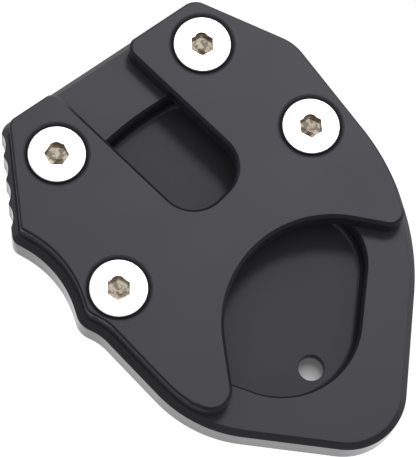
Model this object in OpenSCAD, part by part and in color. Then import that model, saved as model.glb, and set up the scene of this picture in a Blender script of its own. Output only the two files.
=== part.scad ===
// Foot enlarger for a motorcycle side stand.
// A thick base plate carries a pocket for the stand's own foot, and a thinner
// clamp plate closes over that foot and is held down by four countersunk screws.
// Both plates share one outline. +Z is up, the base stands on z = 0, and the
// origin is the middle of the plan.

/* [Plates] */
// Thickness of the base plate
base_h = 9; // [8:0.5:14]
// Thickness of the clamp plate
clamp_h = 5; // [4.5:0.5:8]
// Bevel round the top edge of the base plate
base_bevel = 1.3; // [0.8:0.1:1.6]
// Edge break round the underside of the base plate
foot_break = 0.4; // [0.2:0.1:0.8]
// Bevel round the top edge of the clamp plate
clamp_bevel = 0.6; // [0.3:0.1:1]
// Edge break round the pocket, the slot and the bite
rim_break = 0.3; // [0.1:0.1:0.5]

/* [Outline] */
// Radius of the long bow down the right side
bow_r = 49; // [40:1:55]
// Radius of the heel at the lower right corner
heel_r = 12.5; // [9:0.5:15]
// Radius at the top of the plate
crown_r = 5.2; // [3:0.2:8]
// Radius of the corner at the upper right
shoulder_r = 12; // [8:1:16]
// Radius of the corner at the upper left
arm_r = 3.5; // [2:0.5:5]
// Radius of the hollow in the lower left edge
hollow_r = 22; // [16:1:22]
// Radius of the nose below that hollow
nose_r = 4.5; // [3:0.5:5]
// Radius of the lower left corner, below the scallops
wrist_r = 2.5; // [2:0.5:4]
// Radius of the sweep along the lower edge
sweep_r = 28.5; // [20:0.5:32]

/* [Finger scallops] */
// Number of scallops along the left edge
scallop_count = 4; // [2:1:4]
// Distance from one scallop to the next
scallop_pitch = 5.2; // [4.8:0.1:5.4]
// Depth of each scallop
scallop_depth = 0.65; // [0.4:0.05:0.9]
// Radius of the ridge between two scallops
ridge_r = 0.9; // [0.5:0.1:1.5]
// Distance from the upper left corner to the first scallop
scallop_start = 3.6; // [3.4:0.2:5]

/* [Foot pocket] */
// Depth of the pocket for the stand's foot
pocket_depth = 6; // [4:0.5:6.5]
// Fillet between the pocket's wall and its floor
pocket_fillet = 1; // [0.5:0.25:2]
// Radius of the pocket's front end
pocket_front_r = 15.5; // [13:0.5:17]
// Diameter of the drain hole in the pocket's floor
drain_d = 5.7; // [4:0.1:8]

/* [Clamp plate openings] */
// Width of the slot that takes the stand's leg
slot_w = 17.5; // [15:0.5:18]
// Radius of the two corners at the slot's inner end
slot_r = 7.2; // [3:0.2:7.4]
// Rounding of the two corners at the slot's mouth
slot_mouth_r = 3; // [1:0.5:4]
// Radius of the bite that shows the front of the foot
bite_r = 22.8; // [18:0.2:26]

/* [Screws] */
// Nominal thread diameter
thread_d = 6; // [5:1:6]
// Head diameter
head_d = 12; // [11:0.1:12.4]
// Height of the straight rim above the head's cone
head_rim = 0.8; // [0.5:0.1:1]
// Height of a screw's tip above the underside of the base plate
screw_end = 0.9; // [0.4:0.1:3]
// Key size of the hexagon socket, across its flats
key_af = 4; // [3:0.1:5]
// Depth of the hexagon socket
key_depth = 2.4; // [1.5:0.1:3]
// Outer diameter of the countersink in the clamp plate
sink_d = 13.4; // [12.8:0.1:13.8]

/* [Fits] */
// Radial gap between a screw and the plain hole in the clamp plate
hole_gap = 0.3; // [0.2:0.05:0.5]
// Radial gap between a screw and its tapped hole
thread_gap = 0.05; // [0.02:0.01:0.1]
// Gap between a screw head's cone and its countersink
seat_gap = 0.03; // [0.01:0.01:0.05]

/* [Hidden] */

// Largest turn from one side of a rounded corner to the next, in degrees
facet = 4;
// How far a cutter runs past the face that it cuts
over = 1;
// How far a cutter widens above the face where it has broken the rim
lip = 0.4;
// How far a cutter runs out beside the plates where it opens their edge
clear_out = 12;
// Sides of a round hole or turned part
round_sides = 64;

// Heights of the stack
seam_z = base_h;
top_z = base_h + clamp_h;
floor_z = base_h - pocket_depth;

// Outline of both plates, counter-clockwise: [x, y, radius] of each corner
heel = [38.3, -49.4];
waist = [44.5, 3.9];
shoulder = [19.3, 38.5];
crown = [-2.6, 48.6];
arm = [-42.75, 20.5];
wrist = [-40.2, -4.1];
neck_r = 10;
plate_corners = [
    [heel[0], heel[1], heel_r],
    [waist[0], waist[1], bow_r],
    [shoulder[0], shoulder[1], shoulder_r],
    [crown[0], crown[1], crown_r],
    [arm[0], arm[1], arm_r],
    [wrist[0], wrist[1], wrist_r],
    [-30.2, -9.9, hollow_r],
    [-26.6, -21.7, nose_r],
    [-22.2, -24, neck_r],
    [-4, -43.7, sweep_r],
];
// Places in that list of the bow, of the corner that ends the slot's edge, and
// of the sweep
bow = 1;
slot_edge = 4;
sweep = 9;

// Pocket for the stand's foot
pocket_corners = [
    [28.4, -43.3, pocket_front_r],
    [33.9, -3.2, 13],
    [-5.6, 29.3, 5],
    [-16, 22.6, 65],
    [-25.4, 13.6, 6],
    [-2, -32.2, 12],
];
fillet_steps = 4;
drain_at = [21, -29.7];

// Slot: the middle of its inner end, and the way that it runs to its mouth
slot_end = [2.9, 3.7];
slot_way = 135;

// Bite: where its two straight edges would meet, and the way that each runs
bite_corner = [-1.3, 5.2];
bite_top_way = -10.5;
bite_side_way = -83;
// The way that the plate's edge runs where the bite's corners melt into it
bite_top_leave = 104;
bite_side_leave = -25;

// Screws: [x, y, turn of the socket]
screw_places = [
    [-0.9, 36.9, 30],
    [-31.2, 12.8, -4],
    [21.3, 19, 33],
    [-18.8, -15.6, 28],
];
hole_d = thread_d + 2 * hole_gap;
tapped_d = thread_d + 2 * thread_gap;
// Depth at which the countersink is as wide as the head
seat_depth = (sink_d - head_d) / 2;
head_proud = head_rim - seat_depth;
head_cone = (head_d - thread_d) / 2;
point_bevel = 0.7;
// Countersink at the mouth of a socket: how far it reaches past the hexagon's
// corners at the top, and inside them at its lower end
socket_bevel = 0.2;
socket_reach = 0.5;
// Slope of the six-sided point under a socket, from the screw's axis
punch_slope = 62;

// Small vector helpers
function unit(v) = v / norm(v);
function way(a) = [cos(a), sin(a)];
function left_of(v) = [-v[1], v[0]];
function cross2(a, b) = a[0] * b[1] - a[1] * b[0];
function meet(p, a, q, b) = p + way(a) * cross2(q - p, way(b)) / cross2(way(a), way(b));

// Ways in and out of corner i, its turn (positive to the left) and its point
function at(c, i) = let (k = (i + len(c)) % len(c)) [c[k][0], c[k][1]];
function way_in(c, i) = unit(at(c, i) - at(c, i - 1));
function way_out(c, i) = unit(at(c, i + 1) - at(c, i));
function turn_at(c, i) = let (u = way_in(c, i), v = way_out(c, i)) atan2(cross2(u, v), u * v);

// Corner i moved inwards, its radius there, and the centre of its arc
function moved(c, i, inset) =
    let (u = way_in(c, i), v = way_out(c, i), m = unit(left_of(u) + left_of(v)))
    at(c, i) + m * inset / cos(turn_at(c, i) / 2);
function radius_at(c, i, inset) = max(0, c[i][2] - sign(turn_at(c, i)) * inset);
function arc_centre(c, i, inset) =
    let (u = way_in(c, i), turn = turn_at(c, i), r = radius_at(c, i, inset))
    moved(c, i, inset) - u * r * abs(tan(turn / 2)) + left_of(u) * r * sign(turn);

// Outline with every corner rounded, moved inwards by inset
function rounded(c, inset = 0) = [
    for (i = [0 : len(c) - 1])
        let (turn = turn_at(c, i), r = radius_at(c, i, inset),
             steps = max(1, ceil(abs(turn) / facet)),
             u = way_in(c, i), start = atan2(u[1], u[0]) - sign(turn) * 90,
             mid = arc_centre(c, i, inset))
        for (k = [0 : c[i][2] == 0 ? 0 : steps])
            c[i][2] == 0 ? moved(c, i, inset) : mid + r * way(start + turn * k / steps)
];

// Where the plate's edge, moved inwards by inset, runs in the given direction
function edge_point(i, heading, inset) =
    arc_centre(plate_corners, i, inset)
    + radius_at(plate_corners, i, inset) * way(heading - 90);

// Rings of points, one for each [inset, z] row, joined by a skin. A closed
// skin joins the last ring to the first, and an open one has a cap at each end.
module skin(corners, rows, closed) {
    rings = [for (row = rows) rounded(corners, row[0])];
    n = len(rings[0]);
    m = len(rows);
    points = [for (j = [0 : m - 1]) for (p = rings[j]) [p[0], p[1], rows[j][1]]];
    bands = [
        for (j = [0 : m - (closed ? 1 : 2)]) for (i = [0 : n - 1])
            let (j2 = (j + 1) % m, i2 = (i + 1) % n)
            [j * n + i, j2 * n + i, j2 * n + i2, j * n + i2]
    ];
    caps = closed ? [] : [
        [for (i = [0 : n - 1]) i],
        [for (i = [n - 1 : -1 : 0]) (m - 1) * n + i],
    ];
    polyhedron(points, concat(bands, caps));
}

// Last rows of a cutter that breaks the rim that it leaves at height z
function rim_rows(z) = [[0, z - rim_break], [-rim_break - lip, z + lip]];

// Cutter that bevels the top edge of a plate at height z
module bevel_cutter(inset, z, size) {
    skin(plate_corners, [
        [inset - over, z - size - over],
        [inset - over, z + over],
        [inset + size + over, z + over],
    ], true);
}

// Cutter that breaks the bottom edge of a plate at height z
module break_cutter(inset, z, size) {
    skin(plate_corners, [
        [inset - over, z + size + over],
        [inset + size + over, z - over],
        [inset - over, z - over],
    ], true);
}

// Slab with the shared outline
module slab(inset, z, h) {
    translate([0, 0, z]) linear_extrude(h) polygon(rounded(plate_corners, inset));
}

// Wave cut down the left edge, between the arm and the wrist
module scallop_cutter() {
    half = scallop_pitch / 2;
    // Slope and radius at which a scallop's arc all but meets the ridge's arc,
    // with a short straight stretch between them
    straight = 0.1;
    slope = 2 * atan(scallop_depth / (half + straight));
    scallop_r = (half - straight * cos(slope)) / sin(slope) - ridge_r;
    // Height that a corner of the zigzag loses for each unit of its rounding
    round_off = 1 / cos(slope) - 1;
    valley_drop = scallop_depth + scallop_r * round_off;
    ridge_rise = ridge_r * round_off;
    along = unit(wrist - arm);
    out = -left_of(along);
    function spot(s, o, r) = let (p = arm + along * s + out * o) [p[0], p[1], r];
    first = scallop_start;
    last = scallop_start + (scallop_count - 1) * scallop_pitch;
    run = (over + valley_drop) / tan(slope);
    path = concat(
        [spot(first - run, over, 0)],
        [for (k = [0 : scallop_count - 1]) each concat(
            [spot(first + k * scallop_pitch, -valley_drop, scallop_r)],
            k < scallop_count - 1 ? [spot(first + k * scallop_pitch + half, ridge_rise, ridge_r)] : []
        )],
        [spot(last + run, over, 0)],
        [spot(last + run, clear_out, 0)],
        [spot(first - run, clear_out, 0)]
    );
    translate([0, 0, -over]) linear_extrude(base_h + 2 * over) polygon(rounded(path));
}

// Pocket with a fillet round its floor
module pocket_cutter() {
    skin(pocket_corners, concat(
        [for (k = [0 : fillet_steps])
            let (a = 90 * k / fillet_steps)
            [pocket_fillet * (1 - sin(a)), floor_z + pocket_fillet * (1 - cos(a))]],
        rim_rows(seam_z)
    ), false);
}

// Slot open at the upper left edge, its mouth rounded on both sides
module slot_cutter() {
    side = way(slot_way + 90) * slot_w / 2;
    edge_along = way_in(plate_corners, slot_edge);
    edge_way = atan2(edge_along[1], edge_along[0]);
    edge_at = moved(plate_corners, slot_edge, base_bevel);
    left_mouth = meet(slot_end + side, slot_way, edge_at, edge_way);
    right_mouth = meet(slot_end - side, slot_way, edge_at, edge_way);
    // The cutter widens along the edge past each mouth corner, where it drifts
    // just clear of the edge and leaves no sliver there
    spread = 2 * slot_mouth_r;
    drift = 0.3;
    function beside(p, s, o, r) =
        let (q = p + edge_along * s - left_of(edge_along) * o) [q[0], q[1], r];
    corners = [
        [slot_end[0] + side[0], slot_end[1] + side[1], slot_r],
        [slot_end[0] - side[0], slot_end[1] - side[1], slot_r],
        beside(right_mouth, 0, 0, slot_mouth_r),
        beside(right_mouth, -spread, drift, 0),
        beside(right_mouth, -spread, clear_out, 0),
        beside(left_mouth, spread, clear_out, 0),
        beside(left_mouth, spread, drift, 0),
        beside(left_mouth, 0, 0, slot_mouth_r),
    ];
    skin(corners, concat([[0, seam_z - over]], rim_rows(top_z)), false);
}

// Bite at the lower right, its two corners melting into the plate's edge
module bite_cutter() {
    top_edge = edge_point(bow, bite_top_leave, base_bevel);
    side_edge = edge_point(sweep, bite_side_leave, base_bevel);
    top_corner = meet(bite_corner, bite_top_way, top_edge, bite_top_leave);
    side_corner = meet(bite_corner, bite_side_way, side_edge, bite_side_leave);
    top_turn = bite_top_leave - bite_top_way;
    side_turn = bite_side_leave - bite_side_way + 180;
    top_r = norm(top_corner - top_edge) / tan(top_turn / 2);
    side_r = norm(side_corner - side_edge) / -tan(side_turn / 2);
    top_out = top_edge + way(bite_top_leave - 90) * clear_out;
    side_out = side_edge + way(bite_side_leave - 90) * clear_out;
    corners = [
        [side_corner[0], side_corner[1], side_r],
        [side_edge[0], side_edge[1], 0],
        [side_out[0], side_out[1], 0],
        [heel[0] + clear_out, heel[1] - clear_out, 0],
        [top_out[0], top_out[1], 0],
        [top_edge[0], top_edge[1], 0],
        [top_corner[0], top_corner[1], top_r],
        [bite_corner[0], bite_corner[1], bite_r],
    ];
    skin(corners, concat([[0, seam_z - over]], rim_rows(top_z)), false);
}

// Places something at each screw
module at_screws() {
    for (p = screw_places) translate([p[0], p[1], 0]) rotate(p[2]) children();
}

module base_plate() {
    color([0.1, 0.1, 0.11]) difference() {
        slab(0, 0, base_h);
        bevel_cutter(0, seam_z, base_bevel);
        break_cutter(0, 0, foot_break);
        scallop_cutter();
        pocket_cutter();
        translate([drain_at[0], drain_at[1], -over])
            cylinder(d = drain_d, h = floor_z + 2 * over, $fn = round_sides);
        at_screws() translate([0, 0, -over])
            cylinder(d = tapped_d, h = base_h + 2 * over, $fn = round_sides);
    }
}

module clamp_plate() {
    color([0.12, 0.12, 0.13]) difference() {
        slab(base_bevel, seam_z, clamp_h);
        bevel_cutter(base_bevel, top_z, clamp_bevel);
        slot_cutter();
        bite_cutter();
        at_screws() countersunk_hole();
    }
}

// Plain hole with a 90 degree countersink at the top
module countersunk_hole() {
    sink_depth = (sink_d - hole_d) / 2;
    rotate_extrude($fn = round_sides) polygon([
        [0, seam_z - over],
        [hole_d / 2, seam_z - over],
        [hole_d / 2, top_z - sink_depth],
        [sink_d / 2, top_z],
        [sink_d / 2 + over, top_z + over],
        [0, top_z + over],
    ]);
}

// Countersunk screw, its head standing proud of the clamp plate
module screw() {
    head_z = top_z + head_proud;
    rim_z = head_z - head_rim;
    socket_floor = head_z - key_depth;
    corner_r = key_af / 2 / cos(30);
    punch_h = corner_r / tan(punch_slope);
    mouth_h = socket_bevel + socket_reach;
    difference() {
        rotate_extrude($fn = round_sides) polygon([
            [0, screw_end],
            [thread_d / 2 - point_bevel, screw_end],
            [thread_d / 2, screw_end + point_bevel],
            [thread_d / 2, rim_z - head_cone + seat_gap],
            [head_d / 2 - seat_gap, rim_z],
            [head_d / 2 - seat_gap, head_z],
            [0, head_z],
        ]);
        translate([0, 0, socket_floor])
            cylinder(r = corner_r, h = key_depth + over, $fn = 6);
        translate([0, 0, socket_floor - punch_h])
            cylinder(r1 = 0, r2 = corner_r, h = punch_h, $fn = 6);
        translate([0, 0, head_z - mouth_h]) cylinder(
            r1 = corner_r - socket_reach, r2 = corner_r + socket_bevel + over,
            h = mouth_h + over, $fn = round_sides
        );
    }
}

module screws() {
    color([0.8, 0.8, 0.82]) at_screws() screw();
}

base_plate();
clamp_plate();
screws();
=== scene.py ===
# %% [markdown]
# # A foot enlarger for a side stand
#
# The real object is two black anodised aluminium plates and four bright
# countersunk screws. The base plate has a pocket for the stand's own foot, and
# the clamp plate closes over that foot, with a slot for the leg. This lesson
# dresses the measured model: it loads the exact solids, mills both plates again
# with the soft arrises that catch the light, turns the screws with their
# threads, and finishes each surface with a procedural material.

# %% Load the measured model
import math

import bpy
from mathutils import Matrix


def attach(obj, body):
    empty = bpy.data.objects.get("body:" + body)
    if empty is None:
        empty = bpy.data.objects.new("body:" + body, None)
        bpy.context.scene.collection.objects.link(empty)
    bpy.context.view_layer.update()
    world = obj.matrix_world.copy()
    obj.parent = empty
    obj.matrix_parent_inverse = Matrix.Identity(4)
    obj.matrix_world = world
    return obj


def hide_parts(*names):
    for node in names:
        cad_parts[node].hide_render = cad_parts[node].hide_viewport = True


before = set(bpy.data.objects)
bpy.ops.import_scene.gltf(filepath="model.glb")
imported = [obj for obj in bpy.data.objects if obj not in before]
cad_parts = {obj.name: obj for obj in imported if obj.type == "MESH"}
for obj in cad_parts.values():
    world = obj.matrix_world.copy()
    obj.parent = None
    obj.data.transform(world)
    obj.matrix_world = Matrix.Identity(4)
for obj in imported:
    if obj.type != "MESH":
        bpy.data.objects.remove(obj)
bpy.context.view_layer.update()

MM = 0.001

# %% [markdown]
# ## The photograph's view
#
# The product was shot from nearly straight above with a long lens, about half a
# metre away, leaning towards its front. The camera's place was worked out from
# the four screw heads, which are all 12 mm across. The picture is taller than
# it is wide, so Blender fits the sensor to its height.

# %% Place the camera
scene = bpy.context.scene
scene.view_settings.view_transform = "Standard"

CAMERA_AT = (-35.33, -141.37, 488.88)
CAMERA_TURN = (16.2755, -3.8676, -1.1282)
FOCAL_PX = 2435.1
IMAGE_HEIGHT_PX = 457
NEAREST = 10

lens = bpy.data.cameras.new("camera")
camera = bpy.data.objects.new("camera", lens)
scene.collection.objects.link(camera)
camera.location = [c * MM for c in CAMERA_AT]
camera.rotation_euler = [math.radians(a) for a in CAMERA_TURN]
lens.lens = lens.sensor_width * FOCAL_PX / IMAGE_HEIGHT_PX
lens.clip_start = NEAREST * MM
scene.camera = camera
print("lens: %.1f mm" % lens.lens)

# %% [markdown]
# ## Short calls for node trees
#
# Every tree in this lesson is built with one helper: it adds a node, sets its
# options, and fills each input with a plain value or with a wire from another
# node. Around it are short names for the steps that come back all the time. The
# trees then read from top to bottom, like a recipe.

# %% Node helpers
def put(tree, kind, inputs=None, **options):
    """A new node. An input takes a value, a socket to wire, or a list of sockets."""
    node = tree.nodes.new(kind)
    for option, value in options.items():
        setattr(node, option, value)
    for key, value in (inputs or {}).items():
        for item in value if isinstance(value, list) else [value]:
            if isinstance(item, bpy.types.NodeSocket):
                tree.links.new(item, node.inputs[key])
            else:
                node.inputs[key].default_value = item
    return node


def sum_up(tree, operation, a, b=0.0, c=0.0):
    """One Math node, and the socket that holds its answer."""
    return put(tree, "ShaderNodeMath", {0: a, 1: b, 2: c}, operation=operation).outputs[0]


def remap(tree, value, low, high, to_low=0.0, to_high=1.0):
    """As value goes from low to high, the answer goes from to_low to to_high and no further."""
    return put(tree, "ShaderNodeMapRange", {
        "Value": value, "From Min": low, "From Max": high, "To Min": to_low, "To Max": to_high,
    }).outputs["Result"]


def grow(tree, vector, scale):
    return put(tree, "ShaderNodeVectorMath", {0: vector, "Scale": scale}, operation="SCALE").outputs["Vector"]


def split(tree, vector):
    return put(tree, "ShaderNodeSeparateXYZ", {"Vector": vector}).outputs


def combine(tree, x=0.0, y=0.0, z=0.0):
    return put(tree, "ShaderNodeCombineXYZ", {"X": x, "Y": y, "Z": z}).outputs["Vector"]


print("one millimetre is", MM, "units of the scene")

# %% [markdown]
# ## Groups with named sockets
#
# A machine shop keeps jigs for work that comes back, and a node group is such a
# jig: it is set up once, and any later tree uses it as a single node. Each
# group starts with the names of what goes in and what comes out.

# %% Group helpers
GEOMETRY = "NodeSocketGeometry"
NUMBER = "NodeSocketFloat"
WHOLE = "NodeSocketInt"
OBJECT = "NodeSocketObject"
MATERIAL = "NodeSocketMaterial"
VECTOR = "NodeSocketVector"


def new_group(name, kind, inputs, outputs):
    """A node group with named sockets: its tree, its inputs by name and its output node's sockets."""
    tree = bpy.data.node_groups.new(name, kind)
    for title, socket_kind in outputs:
        tree.interface.new_socket(title, in_out="OUTPUT", socket_type=socket_kind)
    for title, socket_kind, *default in inputs:
        socket = tree.interface.new_socket(title, in_out="INPUT", socket_type=socket_kind)
        if default:
            socket.default_value = default[0]
    return tree, put(tree, "NodeGroupInput").outputs, put(tree, "NodeGroupOutput").inputs


def in_group(tree, group, inputs):
    """Another group used as one node of this tree."""
    return put(tree, "GeometryNodeGroup", inputs, node_tree=group).outputs


def tell(tree):
    print(tree.name, "has", len(tree.nodes), "nodes")


print("kinds of socket:", GEOMETRY, NUMBER, WHOLE, OBJECT, MATERIAL, VECTOR)

# %% [markdown]
# ## Corners with radii
#
# A machinist's drawing gives an outline as a few corners, each with its radius.
# The same list works here: the corners become the points of a tiny mesh, and
# their radii an attribute on those points. A section that is swept round an
# outline is drawn in the same way.

# %% Drawings as helper objects
RADIUS = "corner radius"
helpers = []


def keep_helper(name, mesh):
    """An object that only carries a drawing into a tree. It goes when the pieces are made."""
    made = bpy.data.objects.new(name, mesh)
    scene.collection.objects.link(made)
    helpers.append(made)
    return made


def corner_mesh(name, corners, closed):
    """A helper object whose points are corners, each with its radius as an attribute."""
    mesh = bpy.data.meshes.new(name)
    count = len(corners)
    edges = [(i, (i + 1) % count) for i in range(count if closed else count - 1)]
    mesh.from_pydata([(x, y, 0.0) for x, y, radius in corners], edges, [])
    radii = mesh.attributes.new(RADIUS, "FLOAT", "POINT")
    radii.data.foreach_set("value", [radius for x, y, radius in corners])
    return keep_helper(name, mesh)


def outline(name, corners):
    return corner_mesh(name, corners, closed=True)


def section(name, rows):
    """A section to sweep, from its lower end up. A row is (offset outwards, height, radius)."""
    return corner_mesh(name, [(out, -z, radius) for out, z, radius in rows], closed=False)


print("corner radii are kept in the attribute", RADIUS)

# %% [markdown]
# ## Rounding the corners
#
# A cutter of a given radius leaves an arc of that radius in every corner. The
# mesh becomes a curve, and one Fillet Curve node rounds all its corners at
# once, each by its own attribute. The number of steps says how fine an arc is.

# %% Rounded path group
rounded_path, given, result = new_group(
    "rounded path", "GeometryNodeTree",
    [("Corners", OBJECT), ("Steps", WHOLE, 24)], [("Path", GEOMETRY)],
)
points = put(rounded_path, "GeometryNodeObjectInfo", {"Object": given["Corners"]})
curve = put(rounded_path, "GeometryNodeMeshToCurve", {"Mesh": points.outputs["Geometry"]})
radii = put(rounded_path, "GeometryNodeInputNamedAttribute", {"Name": RADIUS}, data_type="FLOAT")
fillet = put(
    rounded_path, "GeometryNodeFilletCurve",
    {"Curve": curve.outputs["Curve"], "Count": given["Steps"], "Radius": radii.outputs["Attribute"]},
    mode="POLY",
)
rounded_path.links.new(fillet.outputs["Curve"], result["Path"])
tell(rounded_path)

# %% [markdown]
# ## Sweeping a section round an outline
#
# A bevel cutter runs round the plate and leaves the same section everywhere.
# Curve to Mesh does that: with upright normals, a section's offset points
# outwards at every point of the outline. This gives the wall only, as a tube
# that is open above and below.

# %% Wall of a swept solid
swept_solid, given, result = new_group(
    "swept solid", "GeometryNodeTree",
    [("Path", GEOMETRY), ("Section", GEOMETRY)], [("Solid", GEOMETRY)],
)
upright = put(
    swept_solid, "GeometryNodeSetCurveNormal", {"Curve": given["Path"]}, mode="Z_UP"
).outputs["Curve"]
tube = put(swept_solid, "GeometryNodeCurveToMesh", {"Curve": upright, "Profile Curve": given["Section"]})
wall = put(swept_solid, "GeometryNodeFlipFaces", {"Mesh": tube.outputs["Mesh"]}).outputs["Mesh"]
tell(swept_solid)

# %% [markdown]
# ## Closing a swept solid
#
# The plate's flat faces are what the saw and the face mill leave. Each one is
# the outline again, moved sideways and up by an end point of the section, and
# filled. A boolean needs a closed solid, so the three parts are then welded
# along their shared rows of points.

# %% Flat faces of a swept solid
WELD = 0.0005


def moved(tree, geometry, offset):
    return put(tree, "GeometryNodeSetPosition", {"Geometry": geometry, "Offset": offset}).outputs["Geometry"]


def closing_face(path, end_section, row):
    """The flat face that closes the solid at one end of its section."""
    place = put(swept_solid, "GeometryNodeInputPosition").outputs["Position"]
    outwards = put(swept_solid, "GeometryNodeInputNormal").outputs["Normal"]
    found = put(
        swept_solid, "GeometryNodeSampleIndex", {"Geometry": end_section, "Value": place, "Index": row},
        data_type="FLOAT_VECTOR", domain="POINT",
    )
    offset = split(swept_solid, found.outputs["Value"])
    height = sum_up(swept_solid, "MULTIPLY", offset["Y"], -1.0)
    ring = moved(swept_solid, path, grow(swept_solid, outwards, offset["X"]))
    face = put(swept_solid, "GeometryNodeFillCurve", {"Curve": ring}, mode="NGONS").outputs["Mesh"]
    return moved(swept_solid, face, combine(swept_solid, z=height))


size = put(
    swept_solid, "GeometryNodeAttributeDomainSize", {"Geometry": given["Section"]}, component="CURVE"
)
last = sum_up(swept_solid, "SUBTRACT", size.outputs["Point Count"], 1.0)
lower = put(swept_solid, "GeometryNodeFlipFaces", {"Mesh": closing_face(upright, given["Section"], 0)})
upper = closing_face(upright, given["Section"], last)
shell = put(swept_solid, "GeometryNodeJoinGeometry", {"Geometry": [wall, lower.outputs["Mesh"], upper]})
closed = put(
    swept_solid, "GeometryNodeMergeByDistance", {"Geometry": shell.outputs["Geometry"], "Distance": WELD}
)
swept_solid.links.new(closed.outputs["Geometry"], result["Solid"])
tell(swept_solid)

# %% [markdown]
# ## Milled and turned solids
#
# Everything here comes off a mill or a lathe. A milled solid sweeps its section
# round a drawn outline, and a turned one sweeps it round a circle. Both are
# used for pieces and for the cutters that bite into them.

# %% Milled and turned groups
milled_solid, given, result = new_group(
    "milled solid", "GeometryNodeTree",
    [("Outline", OBJECT), ("Section", OBJECT), ("Steps", WHOLE, 24), ("Section Steps", WHOLE, 5)],
    [("Solid", GEOMETRY)],
)
path = in_group(milled_solid, rounded_path, {"Corners": given["Outline"], "Steps": given["Steps"]})
edge = in_group(milled_solid, rounded_path, {"Corners": given["Section"], "Steps": given["Section Steps"]})
solid = in_group(milled_solid, swept_solid, {"Path": path["Path"], "Section": edge["Path"]})
milled_solid.links.new(solid["Solid"], result["Solid"])
tell(milled_solid)

turned_solid, given, result = new_group(
    "turned solid", "GeometryNodeTree",
    [("Radius", NUMBER, 3.0), ("Section", OBJECT), ("Sides", WHOLE, 96), ("Section Steps", WHOLE, 5)],
    [("Solid", GEOMETRY)],
)
circle = put(
    turned_solid, "GeometryNodeCurvePrimitiveCircle",
    {"Resolution": given["Sides"], "Radius": given["Radius"]},
)
edge = in_group(turned_solid, rounded_path, {"Corners": given["Section"], "Steps": given["Section Steps"]})
solid = in_group(turned_solid, swept_solid, {"Path": circle.outputs["Curve"], "Section": edge["Path"]})
turned_solid.links.new(solid["Solid"], result["Solid"])
tell(turned_solid)

# %% [markdown]
# ## The base plate
#
# The real base is one 9 mm plate: an outline, a 45 degree chamfer round its top
# edge, a pocket, a drain hole, four tapped holes and a row of scallops down the
# left edge. The arrises get a small radius, because a blasted and anodised edge
# is never truly sharp. Heights are in millimetres above the ground.

# %% Base plate drawing
SEAM_Z = 9.0
CHAMFER = 1.3
FOOT_BREAK = 0.4
ARRIS = 0.15
RIGHT_AND_REAR = [(38.3, -49.4, 12.5), (44.5, 3.9, 49.0), (19.3, 38.5, 12.0), (-2.6, 48.6, 5.2)]

PLATE = outline("plate outline", RIGHT_AND_REAR + [
    (-42.75, 20.5, 3.5), (-40.2, -4.1, 2.5), (-30.2, -9.9, 22.0), (-26.6, -21.7, 4.5), (-22.2, -24.0, 10.0),
    (-4.0, -43.7, 28.5),
])
BASE_EDGE = section("base edge", [
    (-FOOT_BREAK - 0.5, 0, 0), (-FOOT_BREAK, 0, ARRIS), (0, FOOT_BREAK, ARRIS),
    (0, SEAM_Z - CHAMFER, ARRIS), (-CHAMFER, SEAM_Z, ARRIS), (-CHAMFER - 0.5, SEAM_Z, 0),
])
print("base plate:", len(PLATE.data.vertices), "corners,", SEAM_Z, "mm thick")

# %% [markdown]
# ## The scallops
#
# Four round bites with small crests between them let a boot grip the edge. On
# the mill it is one cutter that steps along the edge, so it is a loop here: a
# valley and a crest are drawn once and repeated at the pitch. The other corners
# only carry the cutter clear of the plate.

# %% Scallop cutter
OVER = 1.0
VALLEY = (-39.559, 1.528, 4.617)
CREST = (-41.149, 3.977, 0.9)
SCALLOP_STEP = (-0.536, 5.1725)
CRESTS = 3


def stepped(corner, count):
    """A corner of the row of scallops, moved on by a number of steps."""
    x, y, radius = corner
    return (x + count * SCALLOP_STEP[0], y + count * SCALLOP_STEP[1], radius)


scallop_row = [stepped(VALLEY, 0)]
for i in range(CRESTS):
    scallop_row += [stepped(CREST, i), stepped(VALLEY, i + 1)]
SCALLOPS = outline("scallops", (
    [(-54.76, 20.0, 0), (-52.26, -4.15, 0), (-41.318, -3.018, 0)] + scallop_row + [(-43.82, 21.13, 0)]
))
SCALLOP_EDGE = section("scallop edge", [(0, -OVER, 0), (0, SEAM_Z + OVER, 0)])
print("scallops:", CRESTS + 1, "at a pitch of %.2f mm" % math.hypot(*SCALLOP_STEP))

# %% [markdown]
# ## The pocket and the holes
#
# The pocket holds the stand's own foot. An end mill with rounded corners leaves
# a fillet at its floor, and its rim is broken by a chamfer, which shows as a
# thin line of light. The drain hole and the tapped holes have small breaks at
# both ends. Each is a section for a cutter, from its lower end up.

# %% Pocket and hole cutters
FLOOR_Z = 3.0
FLOOR_FILLET = 1.4
POCKET_RIM = 0.6
HOLE_BREAK = 0.35
DRAIN_R = 2.7
TAPPED_R = 3.05
DRAIN_AT = (21.0, -29.7)

POCKET = outline("pocket", [
    (27.8, -42.9, 16.5), (33.2, -3.5, 13.0), (-5.1, 28.7, 5.0), (-15.5, 22.0, 65.0), (-24.9, 13.0, 6.0),
    (-2.0, -32.0, 12.0),
])


def rim(top, reach, radius, slope=0.2):
    """The upper end of a cutter's section: the broken rim that it leaves on a face at height top."""
    return [
        (0, top - reach, radius), (reach - 0.1, top - 0.02, radius), (reach + OVER, top + slope * OVER, 0),
    ]


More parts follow.
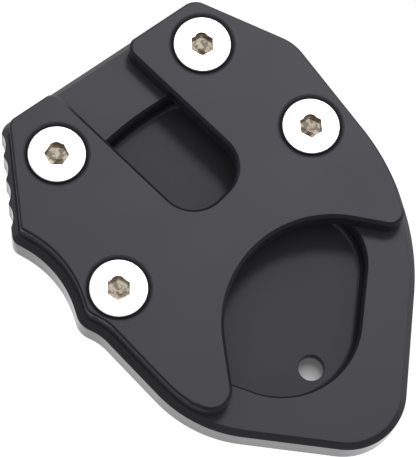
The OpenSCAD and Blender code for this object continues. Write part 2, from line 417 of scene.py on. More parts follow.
POCKET_EDGE = section(
    "pocket edge", [(-3.0, FLOOR_Z, 0), (0, FLOOR_Z, FLOOR_FILLET)] + rim(SEAM_Z, POCKET_RIM, 0.08)
)
HOLE_FOOT = [(HOLE_BREAK + 0.1, -0.1, 0), (0, HOLE_BREAK, 0.1)]
DRAIN_EDGE = section("drain edge", HOLE_FOOT + [
    (0, FLOOR_Z - 0.1, 0.05), (0.15, FLOOR_Z + 0.05, 0), (0.15, FLOOR_Z + OVER, 0),
])
TAPPED_EDGE = section("tapped edge", HOLE_FOOT + [
    (0, SEAM_Z - HOLE_BREAK, 0.1), (HOLE_BREAK + 0.1, SEAM_Z + 0.1, 0),
])
print("pocket: %.1f mm deep, drain hole: %.1f mm across" % (SEAM_Z - FLOOR_Z, 2 * DRAIN_R))

# %% [markdown]
# ## The screws' places
#
# All four screws are the same, but each came to rest with its socket turned
# another way. One helper mesh has a point for each screw, and an attribute with
# its turn, so one tapped hole, one countersink and one screw serve all four.

# %% Screw places
TURN = "turn"
SCREWS = [(-0.9, 36.9, 30.0), (-31.2, 12.8, -4.0), (21.3, 19.0, 33.0), (-18.8, -15.6, 28.0)]

screw_mesh = bpy.data.meshes.new("screw places")
screw_mesh.from_pydata([(x, y, 0.0) for x, y, degrees in SCREWS], [], [])
turns = screw_mesh.attributes.new(TURN, "FLOAT", "POINT")
turns.data.foreach_set("value", [math.radians(degrees) for x, y, degrees in SCREWS])
SCREW_PLACES = keep_helper("screw places", screw_mesh)
print("screws:", len(SCREWS))

# %% [markdown]
# ## Copies at the screws
#
# A drilling jig puts the same hole at every screw. Instance on Points does the
# same with any part that is drawn once at the middle, and turns each copy by
# the attribute of its point. The copies are made real, so that they can cut.

# %% Group that copies a part to the screws
at_screws, given, result = new_group(
    "at the screws", "GeometryNodeTree", [("Part", GEOMETRY), ("Places", OBJECT)], [("Parts", GEOMETRY)]
)
spots = put(at_screws, "GeometryNodeObjectInfo", {"Object": given["Places"]})
turn = put(at_screws, "GeometryNodeInputNamedAttribute", {"Name": TURN}, data_type="FLOAT")
copies = put(at_screws, "GeometryNodeInstanceOnPoints", {
    "Points": spots.outputs["Geometry"], "Instance": given["Part"],
    "Rotation": combine(at_screws, z=turn.outputs["Attribute"]),
})
real = put(at_screws, "GeometryNodeRealizeInstances", {"Geometry": copies.outputs["Instances"]})
at_screws.links.new(real.outputs["Geometry"], result["Parts"])
tell(at_screws)

# %% [markdown]
# ## Finishing a piece
#
# The drawings are in millimetres and the model is in metres, so the last group
# scales a piece down. It also sets the shading: an edge that turns by more than
# 12 degrees stays crisp, and the rest shades as one smooth surface, as a milled
# arc does. At the end the piece gets its material.

# %% Finished piece group
SHARP = math.radians(12)

finished, given, result = new_group(
    "finished piece", "GeometryNodeTree",
    [("Solid", GEOMETRY), ("Material", MATERIAL)], [("Piece", GEOMETRY)],
)
bend = put(finished, "GeometryNodeInputMeshEdgeAngle").outputs["Unsigned Angle"]
crisp = put(finished, "FunctionNodeCompare", {"A": bend, "B": SHARP}, operation="GREATER_THAN")
rounder = put(finished, "GeometryNodeSetShadeSmooth", {"Geometry": given["Solid"]}, domain="FACE")
edges = put(finished, "GeometryNodeSetShadeSmooth", {
    "Geometry": rounder.outputs["Geometry"], "Selection": crisp.outputs["Result"], "Shade Smooth": False,
}, domain="EDGE")
scaled = put(finished, "GeometryNodeTransform", {
    "Geometry": edges.outputs["Geometry"], "Scale": (MM, MM, MM),
})
real = put(finished, "GeometryNodeRealizeInstances", {"Geometry": scaled.outputs["Geometry"]})
bare = put(finished, "GeometryNodeRemoveAttribute", {"Geometry": real.outputs["Geometry"], "Name": RADIUS})
coated = put(finished, "GeometryNodeSetMaterial", {
    "Geometry": bare.outputs["Geometry"], "Material": given["Material"],
})
finished.links.new(coated.outputs["Geometry"], result["Piece"])
tell(finished)

# %% [markdown]
# ## Walls with a finish of their own
#
# A cutter's flank leaves another surface than a face mill does, and in the
# photograph the walls reflect less than the tops. This group finds the faces
# whose normal leans far enough from upright and gives them a second material.

# %% Side walls group
side_walls, given, result = new_group(
    "side walls", "GeometryNodeTree",
    [("Piece", GEOMETRY), ("Lean", NUMBER, 0.3), ("Material", MATERIAL)], [("Piece", GEOMETRY)],
)
normal = put(side_walls, "GeometryNodeInputNormal").outputs["Normal"]
level = sum_up(side_walls, "ABSOLUTE", split(side_walls, normal)["Z"])
painted = put(side_walls, "GeometryNodeSetMaterial", {
    "Geometry": given["Piece"], "Selection": sum_up(side_walls, "LESS_THAN", level, given["Lean"]),
    "Material": given["Material"],
})
side_walls.links.new(painted.outputs["Geometry"], result["Piece"])
tell(side_walls)

# %% [markdown]
# ## Cutting and keeping
#
# Milling is taking away, and so is the boolean here: a blank, minus all its
# cutters in one go. The Manifold solver is quick and reliable on closed solids.
# A finished tree runs once on a helper object, and what it made is kept as an
# ordinary mesh, so that nothing has to be worked out again later.

# %% Cut a blank, and keep a piece
def cut(tree, blank, cutters):
    """A blank with all the cutters taken from it."""
    return put(
        tree, "GeometryNodeMeshBoolean", {"Mesh 1": blank, "Mesh 2": cutters}, operation="DIFFERENCE",
        solver="MANIFOLD",
    ).outputs["Mesh"]


def make_piece(name, tree, values):
    """Runs a tree once, and keeps what it made as an ordinary mesh."""
    maker = bpy.data.objects.new(name + " maker", bpy.data.meshes.new(name + " maker"))
    scene.collection.objects.link(maker)
    modifier = maker.modifiers.new("nodes", "NODES")
    modifier.node_group = tree
    for item in tree.interface.items_tree:
        if item.in_out == "INPUT" and item.name in values:
            modifier[item.identifier] = values[item.name]
    maker.modifiers.new("flat faces stay flat", "WEIGHTED_NORMAL").keep_sharp = True
    graph = bpy.context.evaluated_depsgraph_get()
    mesh = bpy.data.meshes.new_from_object(maker.evaluated_get(graph), depsgraph=graph)
    bpy.data.objects.remove(maker)
    piece = bpy.data.objects.new(name, mesh)
    scene.collection.objects.link(piece)
    print(name, "has", len(mesh.polygons), "faces and", len(mesh.vertices), "vertices")
    return piece


print("drawings ready for the cutters:", [helper.name for helper in helpers])

# %% [markdown]
# ## Milling the base plate
#
# The tree follows the mill: a blank with its chamfer, then the pocket, the
# scallops, the drain hole and the tapped holes are taken from it. Its tops stay
# blasted, and its upright walls get the milled finish.

# %% Base plate tree
OUTLINE_STEPS = 40
POCKET_STEPS = 32

base_tree, given, result = new_group(
    "base plate", "GeometryNodeTree",
    [("Geometry", GEOMETRY), ("Outline", OBJECT), ("Edge", OBJECT), ("Scallops", OBJECT),
     ("Scallop Edge", OBJECT), ("Pocket", OBJECT), ("Pocket Edge", OBJECT), ("Drain Edge", OBJECT),
     ("Tapped Edge", OBJECT), ("Screw Places", OBJECT), ("Material", MATERIAL), ("Wall Material", MATERIAL)],
    [("Geometry", GEOMETRY)],
)
blank = in_group(base_tree, milled_solid, {
    "Outline": given["Outline"], "Section": given["Edge"], "Steps": OUTLINE_STEPS,
})
pocket = in_group(base_tree, milled_solid, {
    "Outline": given["Pocket"], "Section": given["Pocket Edge"], "Steps": POCKET_STEPS,
})
scallops = in_group(base_tree, milled_solid, {"Outline": given["Scallops"], "Section": given["Scallop Edge"]})
drain = in_group(base_tree, turned_solid, {"Radius": DRAIN_R, "Section": given["Drain Edge"]})
drain = put(base_tree, "GeometryNodeTransform", {"Geometry": drain["Solid"], "Translation": (*DRAIN_AT, 0.0)})
tapped = in_group(base_tree, turned_solid, {"Radius": TAPPED_R, "Section": given["Tapped Edge"]})
tapped = in_group(base_tree, at_screws, {"Part": tapped["Solid"], "Places": given["Screw Places"]})
milled = cut(base_tree, blank["Solid"], [
    pocket["Solid"], scallops["Solid"], drain.outputs["Geometry"], tapped["Parts"],
])
piece = in_group(base_tree, finished, {"Solid": milled, "Material": given["Material"]})
piece = in_group(base_tree, side_walls, {"Piece": piece["Piece"], "Material": given["Wall Material"]})
base_tree.links.new(piece["Piece"], result["Geometry"])
tell(base_tree)

# %% [markdown]
# ## The clamp plate
#
# The 5 mm clamp plate follows the base's outline, set in by its chamfer. In the
# photograph its left side lies a little further in than that, so those corners
# are its own. A soft bevel runs round its top edge.

# %% Clamp plate outline
TOP_Z = 14.0
CLAMP_BEVEL = 0.45

CLAMP = outline("clamp outline", RIGHT_AND_REAR + [
    (-42.4, 20.6, 3.5), (-39.8, -3.9, 2.5), (-29.95, -9.55, 22.0), (-26.3, -21.4, 4.5), (-21.9, -23.7, 10.0),
    (-3.75, -43.4, 28.5),
])
CLAMP_EDGE = section("clamp edge", [
    (-CHAMFER - 0.7, SEAM_Z, 0), (-CHAMFER, SEAM_Z, 0), (-CHAMFER, TOP_Z - CLAMP_BEVEL, 2 * ARRIS),
    (-CHAMFER - CLAMP_BEVEL, TOP_Z, ARRIS), (-CHAMFER - CLAMP_BEVEL - 0.4, TOP_Z, 0),
])
print("clamp plate:", TOP_Z - SEAM_Z, "mm thick")

# %% [markdown]
# ## The slot, the bite and the countersinks
#
# The slot lets the stand's leg through, and the long bite leaves the lower
# right of the pocket open. Both run out over the edge, so their last corners
# lie outside the plate. The holes widen into cones for the screw heads, and
# every rim is broken, as a deburring tool leaves it.

# %% Clamp plate cutters
RIM = 0.72
HOLE_R = 3.3
SINK_R = 6.75

SLOT = outline("slot", [
    (-3.33, -1.89, 7.2), (8.77, 10.21, 7.2), (-17.565, 36.540, 3.0), (-12.82, 40.23, 0), (-19.53, 49.81, 0),
    (-43.92, 32.74, 0), (-37.21, 23.16, 0), (-31.84, 26.63, 3.0),
])
BITE = outline("bite", [
    (4.71, -43.75, 4.4), (-5.3, -39.1, 0), (-10.22, -50.66, 0), (50.3, -61.4, 0), (50.573, 8.859, 0),
    (38.930, 5.956, 0), (41.21, -3.2, 3.135), (-1.24, 4.7, 22.8),
])
CUT_EDGE = section("cut edge", [(0, SEAM_Z - OVER, 0)] + rim(TOP_Z, RIM, 0.1))
HOLE_EDGE = section("hole edge", [
    (0, SEAM_Z - OVER, 0), (0, TOP_Z - SINK_R + HOLE_R, 0.1), (SINK_R - HOLE_R - 0.1, TOP_Z - 0.1, 0.12),
    (SINK_R - HOLE_R + OVER, TOP_Z + 0.2, 0),
])
print("countersinks:", 2 * SINK_R, "mm across")

# %% [markdown]
# ## Milling the clamp plate
#
# The same steps as for the base. Here the bevel and the broken rims count as
# walls as well, since the same tool cut them, so the lean that makes a wall is
# much larger.

# %% Clamp plate tree
EDGE_LEAN = 0.9

clamp_tree, given, result = new_group(
    "clamp plate", "GeometryNodeTree",
    [("Geometry", GEOMETRY), ("Outline", OBJECT), ("Edge", OBJECT), ("Slot", OBJECT), ("Bite", OBJECT),
     ("Cut Edge", OBJECT), ("Hole Edge", OBJECT), ("Screw Places", OBJECT), ("Material", MATERIAL),
     ("Wall Material", MATERIAL)],
    [("Geometry", GEOMETRY)],
)
blank = in_group(clamp_tree, milled_solid, {
    "Outline": given["Outline"], "Section": given["Edge"], "Steps": OUTLINE_STEPS,
})
slot = in_group(clamp_tree, milled_solid, {"Outline": given["Slot"], "Section": given["Cut Edge"]})
bite = in_group(clamp_tree, milled_solid, {
    "Outline": given["Bite"], "Section": given["Cut Edge"], "Steps": OUTLINE_STEPS,
})
hole = in_group(clamp_tree, turned_solid, {"Radius": HOLE_R, "Section": given["Hole Edge"]})
holes = in_group(clamp_tree, at_screws, {"Part": hole["Solid"], "Places": given["Screw Places"]})
milled = cut(clamp_tree, blank["Solid"], [slot["Solid"], bite["Solid"], holes["Parts"]])
piece = in_group(clamp_tree, finished, {"Solid": milled, "Material": given["Material"]})
piece = in_group(clamp_tree, side_walls, {
    "Piece": piece["Piece"], "Lean": EDGE_LEAN, "Material": given["Wall Material"],
})
clamp_tree.links.new(piece["Piece"], result["Geometry"])
tell(clamp_tree)

# %% [markdown]
# ## The screws
#
# Four M6 countersunk screws hold the stack. A screw is turned first, and its
# drawing runs from the tip up to the head. The shank has many rows of points,
# because the thread is pressed into it afterwards.

# %% Screw drawing
THREAD_R = 3.0
HEAD_Z = 14.1
HEAD_R = 5.97
HEAD_RIM = 0.8
CONE = HEAD_R - THREAD_R
CONE_FOOT_Z = HEAD_Z - HEAD_RIM - CONE
TIP_Z = 0.9
TIP_CHAMFER = 0.7
PLAIN_NECK = 0.6
THREAD_TOP = CONE_FOOT_Z - PLAIN_NECK
THREAD_ROWS = 88

shank_foot = TIP_Z + TIP_CHAMFER
row_height = (THREAD_TOP - shank_foot) / THREAD_ROWS
shank_rows = [(0, shank_foot + row_height * i, 0) for i in range(THREAD_ROWS + 1)]
SCREW_EDGE = section("screw edge", (
    [(-TIP_CHAMFER - 0.5, TIP_Z, 0), (-TIP_CHAMFER, TIP_Z, 0.05)] + shank_rows
    + [(0, CONE_FOOT_Z, 0.3), (CONE, HEAD_Z - HEAD_RIM, 0.1), (CONE, HEAD_Z, 0.15), (CONE - 0.6, HEAD_Z, 0)]
))
print("screw: %.1f mm long, head %.2f mm across" % (HEAD_Z - TIP_Z, 2 * HEAD_R))

# %% [markdown]
# ## The hexagon socket
#
# The socket is cold punched, 4.5 mm across its flats as the photograph shows
# it, and the punch leaves a flat six-sided point at its floor. A hexagon is a
# cone with six sides and two equal radii. The point is a second cutter, a hair
# wider than the hexagon, so that no sliver is left between the two.

# %% Turned screw with its socket
ACROSS_FLATS = 4.5
SOCKET_DEPTH = 2.9
POINT_SLOPE = 75
HAIR = 0.01
SOCKET_R = ACROSS_FLATS / 2 / math.cos(math.radians(30))
SOCKET_FLOOR = HEAD_Z - SOCKET_DEPTH
PUNCH_DEPTH = SOCKET_R / math.tan(math.radians(POINT_SLOPE))

screw_tree, given, result = new_group(
    "screws", "GeometryNodeTree",
    [("Geometry", GEOMETRY), ("Edge", OBJECT), ("Screw Places", OBJECT), ("Pitch", NUMBER, 1.0),
     ("Thread Depth", NUMBER, 0.54), ("Material", MATERIAL), ("Socket Material", MATERIAL)],
    [("Geometry", GEOMETRY)],
)
turned = in_group(screw_tree, turned_solid, {"Radius": THREAD_R, "Section": given["Edge"]})


def socket_cutter(sides, lower_r, upper_r, low, high):
    cone = put(screw_tree, "GeometryNodeMeshCone", {
        "Vertices": sides, "Radius Top": upper_r, "Radius Bottom": lower_r, "Depth": high - low,
    }, fill_type="NGON").outputs["Mesh"]
    lifted = put(screw_tree, "GeometryNodeTransform", {"Geometry": cone, "Translation": (0, 0, low)})
    return lifted.outputs["Geometry"]


hexagon = socket_cutter(6, SOCKET_R, SOCKET_R, SOCKET_FLOOR, HEAD_Z + OVER)
point = socket_cutter(6, 0.0, SOCKET_R + HAIR, SOCKET_FLOOR - PUNCH_DEPTH, SOCKET_FLOOR + HAIR)
punched = turned["Solid"]
for cutter in (hexagon, point):
    punched = cut(screw_tree, punched, [cutter])
print("socket: %.2f mm deep with its point" % (SOCKET_DEPTH + PUNCH_DEPTH))

# %% [markdown]
# ## The rolled thread
#
# A real thread is rolled into the shank, and here it is pressed in too: each
# point moves inwards by its place in the groove. Take a point's height, counted
# in pitches, less its angle, counted in turns. That is the same all along a
# helix, so its fraction says where the point lies between two crests. The
# groove fades out at both ends.

# %% Press in the thread
THREAD_FOOT = TIP_Z + 0.6
RUN_OUT = 1.0
CREST_WIDTH = 0.06

spot = put(screw_tree, "GeometryNodeInputPosition").outputs["Position"]
parts = split(screw_tree, spot)
angle = sum_up(screw_tree, "ARCTAN2", parts["Y"], parts["X"])
turns_round = sum_up(screw_tree, "DIVIDE", angle, 2 * math.pi)
climb = sum_up(screw_tree, "DIVIDE", parts["Z"], given["Pitch"])
phase = sum_up(screw_tree, "FRACT", sum_up(screw_tree, "SUBTRACT", climb, turns_round))
ramp = sum_up(screw_tree, "ABSOLUTE", sum_up(screw_tree, "SUBTRACT", phase, 0.5))
groove = remap(screw_tree, ramp, CREST_WIDTH, 0.5 - CREST_WIDTH, 1.0, 0.0)
start = remap(screw_tree, parts["Z"], THREAD_FOOT, THREAD_FOOT + RUN_OUT)
end = remap(screw_tree, parts["Z"], THREAD_TOP, THREAD_TOP - RUN_OUT)
reach = sum_up(screw_tree, "MULTIPLY", start, end)
depth = sum_up(screw_tree, "MULTIPLY", sum_up(screw_tree, "MULTIPLY", groove, reach), given["Thread Depth"])
flat = combine(screw_tree, parts["X"], parts["Y"])
radial = put(screw_tree, "ShaderNodeVectorMath", {0: flat}, operation="NORMALIZE").outputs["Vector"]
inwards = grow(screw_tree, radial, sum_up(screw_tree, "MULTIPLY", depth, -1.0))
threaded = moved(screw_tree, punched, inwards)
all_four = in_group(screw_tree, at_screws, {"Part": threaded, "Places": given["Screw Places"]})
print("thread: from %.1f to %.1f mm above the ground" % (THREAD_FOOT, THREAD_TOP))

# %% [markdown]
# ## The worn entry of each socket
#
# In the photograph every socket has a round nick at the same side, towards the
# back. It is a short cone with 64 sides, copied to the screws' places without
# their turns and cut from all four at once.

# %% Cut the entries
ENTRY_SIDES = 64
ENTRY_RADII = (1.5, 1.6)
ENTRY_DEPTH = 1.4
ENTRY_SHIFT = (-0.1, 1.02, 0.0)

entry = socket_cutter(ENTRY_SIDES, *ENTRY_RADII, HEAD_Z - ENTRY_DEPTH, HEAD_Z + 0.1)
spots = put(screw_tree, "GeometryNodeObjectInfo", {"Object": given["Screw Places"]}).outputs["Geometry"]
entries = put(screw_tree, "GeometryNodeInstanceOnPoints", {
    "Points": moved(screw_tree, spots, ENTRY_SHIFT), "Instance": entry,
})
entries = put(screw_tree, "GeometryNodeRealizeInstances", {"Geometry": entries.outputs["Instances"]})
opened = cut(screw_tree, all_four["Parts"], [entries.outputs["Geometry"]])
piece = in_group(screw_tree, finished, {"Solid": opened, "Material": given["Material"]})
print("entries: %.1f mm deep" % ENTRY_DEPTH)

# %% [markdown]
# ## The sockets' own finish
#
# A punched wall is brighter in places and darker in others than the turned
# head, so the sockets get a second material. Its faces are those near a screw's
# axis, above the point's tip and below the head's top. The piece is in metres
# by now, so places are grown back to millimetres first.

# %% Line the sockets
SOCKET_REACH = 2.75
SKIN = 0.02

place = split(screw_tree, grow(screw_tree, spot, 1 / MM))
off_axis = put(
    screw_tree, "GeometryNodeProximity", {0: spots, 2: combine(screw_tree, place["X"], place["Y"])},
    target_element="POINTS",
).outputs["Distance"]
close = put(screw_tree, "FunctionNodeCompare", {"A": off_axis, "B": SOCKET_REACH}, operation="LESS_THAN")
above = sum_up(screw_tree, "GREATER_THAN", place["Z"], SOCKET_FLOOR - PUNCH_DEPTH)
below = sum_up(screw_tree, "LESS_THAN", place["Z"], HEAD_Z - SKIN)
inside = sum_up(
    screw_tree, "MULTIPLY", sum_up(screw_tree, "MULTIPLY", close.outputs["Result"], above), below
)
lined = put(screw_tree, "GeometryNodeSetMaterial", {
    "Geometry": piece["Piece"], "Selection": inside, "Material": given["Socket Material"],
})
screw_tree.links.new(lined.outputs["Geometry"], result["Geometry"])
tell(screw_tree)

# %% [markdown]
# ## Places in millimetres
#
# A grain has a real size, so it is set in millimetres. The pieces and the sweep
# share the model's origin, and this small group turns their own coordinates
# from metres into millimetres for every material.

# %% Millimetres group
millimetres, _, result = new_group("millimetres", "ShaderNodeTree", [], [("Place", VECTOR)])
local = put(millimetres, "ShaderNodeTexCoord").outputs["Object"]
millimetres.links.new(grow(millimetres, local, 1 / MM), result["Place"])
tell(millimetres)

# %% [markdown]
# ## Blasted grain
#
# Blasting with fine beads leaves tiny dents everywhere and wide, faint clouds.
# Two noises do both: the fine one is the height for the bump, and the two
# together spread the roughness a little to either side of its value.

# %% Grain group
grain, given, result = new_group(
    "blasted grain", "ShaderNodeTree",
    [("Place", VECTOR), ("Grain Size", NUMBER, 0.12), ("Cloud Size", NUMBER, 14.0),
     ("Roughness", NUMBER, 0.3), ("Roughness Spread", NUMBER, 0.05)],
    [("Roughness", NUMBER), ("Height", NUMBER), ("Cloud", NUMBER)],
)


def noise(tree, place, size, detail):
    """A noise whose bumps are about size millimetres wide."""
    return put(tree, "ShaderNodeTexNoise", {
        "Vector": place, "Scale": sum_up(tree, "DIVIDE", 1.0, size), "Detail": detail,
    }).outputs["Fac"]


fine = noise(grain, given["Place"], given["Grain Size"], 2.0)
broad = noise(grain, given["Place"], given["Cloud Size"], 3.0)
both = sum_up(grain, "SUBTRACT", sum_up(grain, "ADD", fine, broad), 1.0)
rough = sum_up(grain, "MULTIPLY_ADD", both, given["Roughness Spread"], given["Roughness"])
grain.links.new(rough, result["Roughness"])
grain.links.new(fine, result["Height"])
grain.links.new(broad, result["Cloud"])
tell(grain)

# %% [markdown]
# ## Tool marks
#
# The side of a cutter leaves faint level lines on a wall. The group tells a
# material where it is by the surface's normal: on an upright wall, on a bevel
# or a rim, or low down on the pocket's floor. The lines are a noise that is
# stretched out sideways.

# %% Tool marks group
WALL_LEVELS = (0.15, 0.5)
EDGE_LEVELS = (0.84, 0.96)
STRETCH = (0.04, 0.04, 1.0)

tool_marks, given, result = new_group(
    "tool marks on walls", "ShaderNodeTree",
    [("Place", VECTOR), ("Spacing", NUMBER, 0.5)],
    [("Wall", NUMBER), ("Edge", NUMBER), ("Floor", NUMBER), ("Height", NUMBER)],
)
normal = put(tool_marks, "ShaderNodeNewGeometry").outputs["Normal"]
level = sum_up(tool_marks, "ABSOLUTE", split(tool_marks, normal)["Z"])
wall = remap(tool_marks, level, *WALL_LEVELS, 1.0, 0.0)
edge = remap(tool_marks, level, *EDGE_LEVELS, 1.0, 0.0)
stretch = put(tool_marks, "ShaderNodeVectorMath", {0: given["Place"], 1: STRETCH}, operation="MULTIPLY")
lines = noise(tool_marks, stretch.outputs["Vector"], given["Spacing"], 1.0)
height = split(tool_marks, given["Place"])["Z"]
tool_marks.links.new(wall, result["Wall"])
tool_marks.links.new(edge, result["Edge"])
tool_marks.links.new(sum_up(tool_marks, "LESS_THAN", height, FLOOR_Z + 1.0), result["Floor"])
tool_marks.links.new(sum_up(tool_marks, "MULTIPLY", lines, wall), result["Height"])
tell(tool_marks)

# %% [markdown]
# ## Black anodised aluminium
#
# The plates were milled, blasted and dyed black. What the eye sees is a thin
# glassy oxide film over a nearly black dye, so it is a dielectric: dull when
# looked at straight on, and bright at a grazing angle. The blasted tops scatter
# the highlight, and the walls and edges, which the beads hardly reach, are
# smoother. The walls' film also has a lower index, matched to the photograph,
# so that they stay darker.

# %% Plate materials
DYE = (0.027, 0.026, 0.032, 1.0)
TOP_ROUGHNESS = 0.48
EDGE_CHANGE = -0.28
WALL_CHANGE = -0.07
FLOOR_CHANGE = 0.06
GRAIN_HEIGHT, GRAIN_STRENGTH = 0.02, 0.05
LINE_HEIGHT, LINE_STRENGTH = 0.05, 0.1


def new_material(name):
    """A material with a Principled BSDF, its tree and its shader's sockets."""
    made = bpy.data.materials.new(name)
    made.use_nodes = True
    return made, made.node_tree, made.node_tree.nodes["Principled BSDF"].inputs


def in_shader(tree, group, inputs=None):
    return put(tree, "ShaderNodeGroup", inputs, node_tree=group).outputs


def anodised(name, film_ior):
    made, tree, shader = new_material(name)
    place = in_shader(tree, millimetres)["Place"]
    walls = in_shader(tree, tool_marks, {"Place": place})
    roughness = sum_up(tree, "MULTIPLY_ADD", walls["Edge"], EDGE_CHANGE, TOP_ROUGHNESS)
    roughness = sum_up(tree, "MULTIPLY_ADD", walls["Wall"], WALL_CHANGE, roughness)
    roughness = sum_up(tree, "MULTIPLY_ADD", walls["Floor"], FLOOR_CHANGE, roughness)
    blasted = in_shader(tree, grain, {"Place": place, "Roughness": roughness})
    bump = put(tree, "ShaderNodeBump", {
        "Height": blasted["Height"], "Strength": GRAIN_STRENGTH, "Distance": GRAIN_HEIGHT * MM,
    })
    bump = put(tree, "ShaderNodeBump", {
        "Height": walls["Height"], "Normal": bump.outputs["Normal"], "Strength": LINE_STRENGTH,
        "Distance": LINE_HEIGHT * MM,
    })
    shader["Base Color"].default_value = DYE
    shader["IOR"].default_value = film_ior
    tree.links.new(blasted["Roughness"], shader["Roughness"])
    tree.links.new(bump.outputs["Normal"], shader["Normal"])
    return made


ANODISED = anodised("black anodised", film_ior=1.5)
MILLED_WALL = anodised("black milled wall", film_ior=1.3)
print("plate finishes:", ANODISED.name, "and", MILLED_WALL.name)

# %% [markdown]
# ## Bright screws
#
# The screws are nickel plated steel. Their heads face the lights and burn out
# to white in the photograph. Metal is all reflection, so it needs only a
# colour and a roughness, and the grain group varies the roughness a little.

# %% Nickel material
def metal(name, color, roughness, spread, size):
    made, tree, shader = new_material(name)
    marks = in_shader(tree, grain, {
        "Place": in_shader(tree, millimetres)["Place"], "Grain Size": size, "Cloud Size": 4.0,
        "Roughness": roughness, "Roughness Spread": spread,
    })
    shader["Base Color"].default_value = (*color, 1.0)
    shader["Metallic"].default_value = 1.0
    tree.links.new(marks["Roughness"], shader["Roughness"])
    return made


BRIGHT = metal("bright nickel", (0.95, 0.94, 0.93), roughness=0.40, spread=0.08, size=0.3)
print("head finish:", BRIGHT.name)

# %% [markdown]
# ## Punched sockets
#
# A socket's walls and floor keep the die's polish, and light that has bounced
# in it several times comes out warm. The colour is lightest at the point, and up
# the walls it turns to a darker brown. The socket also has dark stains in
# patches. So one blend goes by height, and a second one by a cloudy noise.

# %% Socket material
POLISHED = (1.0, 0.89, 0.74, 1.0)
DARK_WALL_TONE = (0.40, 0.33, 0.26, 1.0)
STAIN = (0.28, 0.22, 0.16, 1.0)
DARK_WALL_LEVELS = (SOCKET_FLOOR - 0.1, SOCKET_FLOOR + 0.3)
STAIN_CLOUDS = (0.46, 0.56)
STAIN_STRENGTH = 0.75


def blend(tree, factor, color, other):
    """Mixes two colours. A Mix node's colour inputs are numbers 6 and 7, and its output number 2."""
    return put(tree, "ShaderNodeMix", {"Factor": factor, 6: color, 7: other}, data_type="RGBA").outputs[2]


PUNCHED = metal("punched socket", POLISHED[:3], roughness=0.2, spread=0.3, size=0.4)
tree = PUNCHED.node_tree
place = in_shader(tree, millimetres)["Place"]
# Lightest colour at the point, darker brown up the walls above it.
tint = blend(tree, remap(tree, split(tree, place)["Z"], *DARK_WALL_LEVELS), POLISHED, DARK_WALL_TONE)
clouds = in_shader(tree, grain, {"Place": place, "Cloud Size": 1.1})["Cloud"]
stained = sum_up(tree, "MULTIPLY", remap(tree, clouds, *STAIN_CLOUDS), STAIN_STRENGTH)
tree.links.new(blend(tree, stained, tint, STAIN), tree.nodes["Principled BSDF"].inputs["Base Color"])
print("socket finish:", PUNCHED.name)

# %% [markdown]
# ## The pieces
#
# Now the drawings, the trees and the finishes come together. Each tree runs
# once and leaves an ordinary mesh, and after that the drawings aren't needed
# any more.

# %% Make the three pieces
base = make_piece("milled_base", base_tree, {
    "Outline": PLATE, "Edge": BASE_EDGE, "Scallops": SCALLOPS, "Scallop Edge": SCALLOP_EDGE,
    "Pocket": POCKET, "Pocket Edge": POCKET_EDGE, "Drain Edge": DRAIN_EDGE, "Tapped Edge": TAPPED_EDGE,
    "Screw Places": SCREW_PLACES, "Material": ANODISED, "Wall Material": MILLED_WALL,
})
clamp = make_piece("milled_clamp", clamp_tree, {
    "Outline": CLAMP, "Edge": CLAMP_EDGE, "Slot": SLOT, "Bite": BITE, "Cut Edge": CUT_EDGE,
    "Hole Edge": HOLE_EDGE, "Screw Places": SCREW_PLACES, "Material": ANODISED,
    "Wall Material": MILLED_WALL,
})
screws = make_piece("screw_set", screw_tree, {
    "Edge": SCREW_EDGE, "Screw Places": SCREW_PLACES, "Material": BRIGHT, "Socket Material": PUNCHED,
})
for helper in helpers:
    bpy.data.objects.remove(helper)

# %% [markdown]
# ## Taking the solids' places
#
# Nothing on this object moves, so all three pieces ride the one body. Each
# takes the place of its measured solid, which is hidden.

# %% Join the measured model
for piece, solid in ((base, "base_plate"), (clamp, "clamp_plate"), (screws, "screws")):
    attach(piece, "root")
    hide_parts(solid)
    print(piece.name, "takes the place of", solid)

# %% [markdown]
# ## The white sweep
#
# The product was cut out and laid on pure white. A sheet that gives off its own
# light does the same, and it lights the walls from below as white paper would.
# Further out it is dimmer, so that a low wall mirrors grey and not white. From
# below the sheet is see-through, so that the underside can be looked at.

# %% Lay the sweep
SWEEP_HALF = 600
SWEEP_GAP = 0.02
GLOW_RADII = (74.0, 112.0)
FAR_GLOW = 0.45

half, low = SWEEP_HALF * MM, -SWEEP_GAP * MM
corners = [(-half, -half, low), (half, -half, low), (half, half, low), (-half, half, low)]
floor_mesh = bpy.data.meshes.new("floor")
floor_mesh.from_pydata(corners, [], [(0, 1, 2, 3)])
floor = bpy.data.objects.new("floor", floor_mesh)
scene.collection.objects.link(floor)

SWEEP, tree, shader = new_material("white sweep")
place = in_shader(tree, millimetres)["Place"]
from_middle = put(tree, "ShaderNodeVectorMath", {0: place}, operation="LENGTH").outputs["Value"]
glow = remap(tree, from_middle, *GLOW_RADII, 1.0, FAR_GLOW)
seen_from_below = put(tree, "ShaderNodeNewGeometry").outputs["Backfacing"]
tree.links.new(sum_up(tree, "SUBTRACT", 1.0, seen_from_below), shader["Alpha"])
shader["Roughness"].default_value = 1.0
shader["Specular IOR Level"].default_value = 0.0
shader["Emission Strength"].default_value = 1.05
floor_mesh.materials.append(SWEEP)
print("sweep:", 2 * SWEEP_HALF, "mm square")

# %% [markdown]
# ## Painted shade and light on the paper under the drain hole
#
# Through the drain hole the photograph shows no white, but a soft grey that is
# lightest towards the front. The sheet there would lie in the part's own shadow,
# and that shade is painted: under the hole its glow is taken back, and a pale
# spot of painted light, lightest towards the front, is put on its colour.

# %% Paint shade and a spot of light on the sweep under the drain
PAINTED_SHADE_R = 3.4
PAINTED_SHADE_AMOUNT = -0.92
PAINTED_LIGHT_RADII = (1.0, 5.2)
PAINTED_LIGHT_TONES = (0.8, 0.04)
PAPER = 0.05
PAINTED_LIGHT_SPOT = (DRAIN_AT[0] - 0.6, DRAIN_AT[1] - 3.4, 0.0)


def distance_to(spot_place):
    return put(
        tree, "ShaderNodeVectorMath", {0: place, 1: spot_place}, operation="DISTANCE"
    ).outputs["Value"]
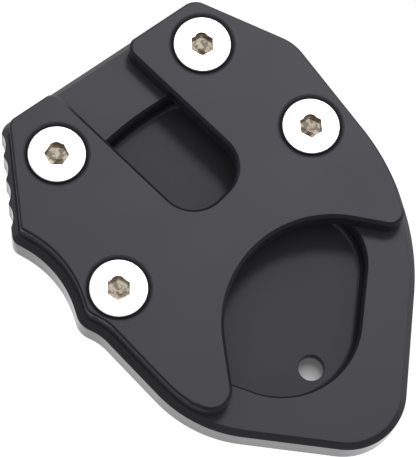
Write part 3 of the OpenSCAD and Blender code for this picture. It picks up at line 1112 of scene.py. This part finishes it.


# Painted shade: the glow is dimmed under the hole, and a painted pool of light is put in the colour towards
# its front.
painted_shade = sum_up(tree, "LESS_THAN", distance_to((*DRAIN_AT, 0.0)), PAINTED_SHADE_R)
painted_light_spot = remap(tree, distance_to(PAINTED_LIGHT_SPOT), *PAINTED_LIGHT_RADII, *PAINTED_LIGHT_TONES)
glow_with_painted_shade = sum_up(tree, "MULTIPLY", glow, sum_up(tree, "MULTIPLY_ADD", painted_shade, PAINTED_SHADE_AMOUNT, 1.0))
tree.links.new(sum_up(tree, "MULTIPLY_ADD", painted_shade, painted_light_spot, PAPER), shader["Base Color"])
tree.links.new(glow_with_painted_shade, shader["Emission Color"])
print("shade: %.1f mm across" % (2 * PAINTED_SHADE_R))

# %% [markdown]
# ## The surroundings
#
# A studio is darker round about than overhead. The sky here goes by height, so
# the tops, which look up, take an even grey, and the walls, which look
# sideways, see little but the sweep.

# %% Sky that darkens towards the horizon
SKY_HEIGHTS = (0.1, 0.9)
SKY_TONES = (0.2, 0.56)

world = bpy.data.worlds.new("world")
scene.world = world
world.use_nodes = True
sky_tree = world.node_tree
facing = put(sky_tree, "ShaderNodeTexCoord").outputs["Generated"]
sky = remap(sky_tree, split(sky_tree, facing)["Z"], *SKY_HEIGHTS, *SKY_TONES)
sky_tree.links.new(sky, sky_tree.nodes["Background"].inputs["Color"])
print("sky from", SKY_TONES[0], "at the horizon to", SKY_TONES[1], "overhead")

# %% [markdown]
# ## The lights
#
# A key light behind the part makes the heads shine and throws the short
# shadows in the pocket. A wide soft box near it evens out the tops. Two low
# panels stand at the sides, so that the chamfers to the left and right catch a
# line of light. All of them point at the middle of the part.

# %% Hang the lights
LIGHT_TINT = (1.0, 0.985, 1.06)
LIGHTS = [
    ("key", (0.22, 0.62, 1.4), 0.3, 0.3, 5.6),
    ("soft box", (0.06, 0.42, 0.75), 0.8, 0.5, 0.42),
    ("side panel", (0.9, 0.15, 0.22), 0.5, 0.35, 0.8),
    ("left panel", (-0.9, 0.35, 0.22), 0.5, 0.35, 0.6),
]

for name, at, width, height, power in LIGHTS:
    light = bpy.data.lights.new(name, "AREA")
    light.shape = "RECTANGLE"
    light.size, light.size_y, light.energy = width, height, power
    light.color = LIGHT_TINT
    lamp = bpy.data.objects.new(name, light)
    scene.collection.objects.link(lamp)
    lamp.location = at
    lamp.rotation_euler = (math.atan2(math.hypot(at[0], at[1]), at[2]), 0.0, math.atan2(at[0], -at[1]))
    print(name, "gives", power, "W")
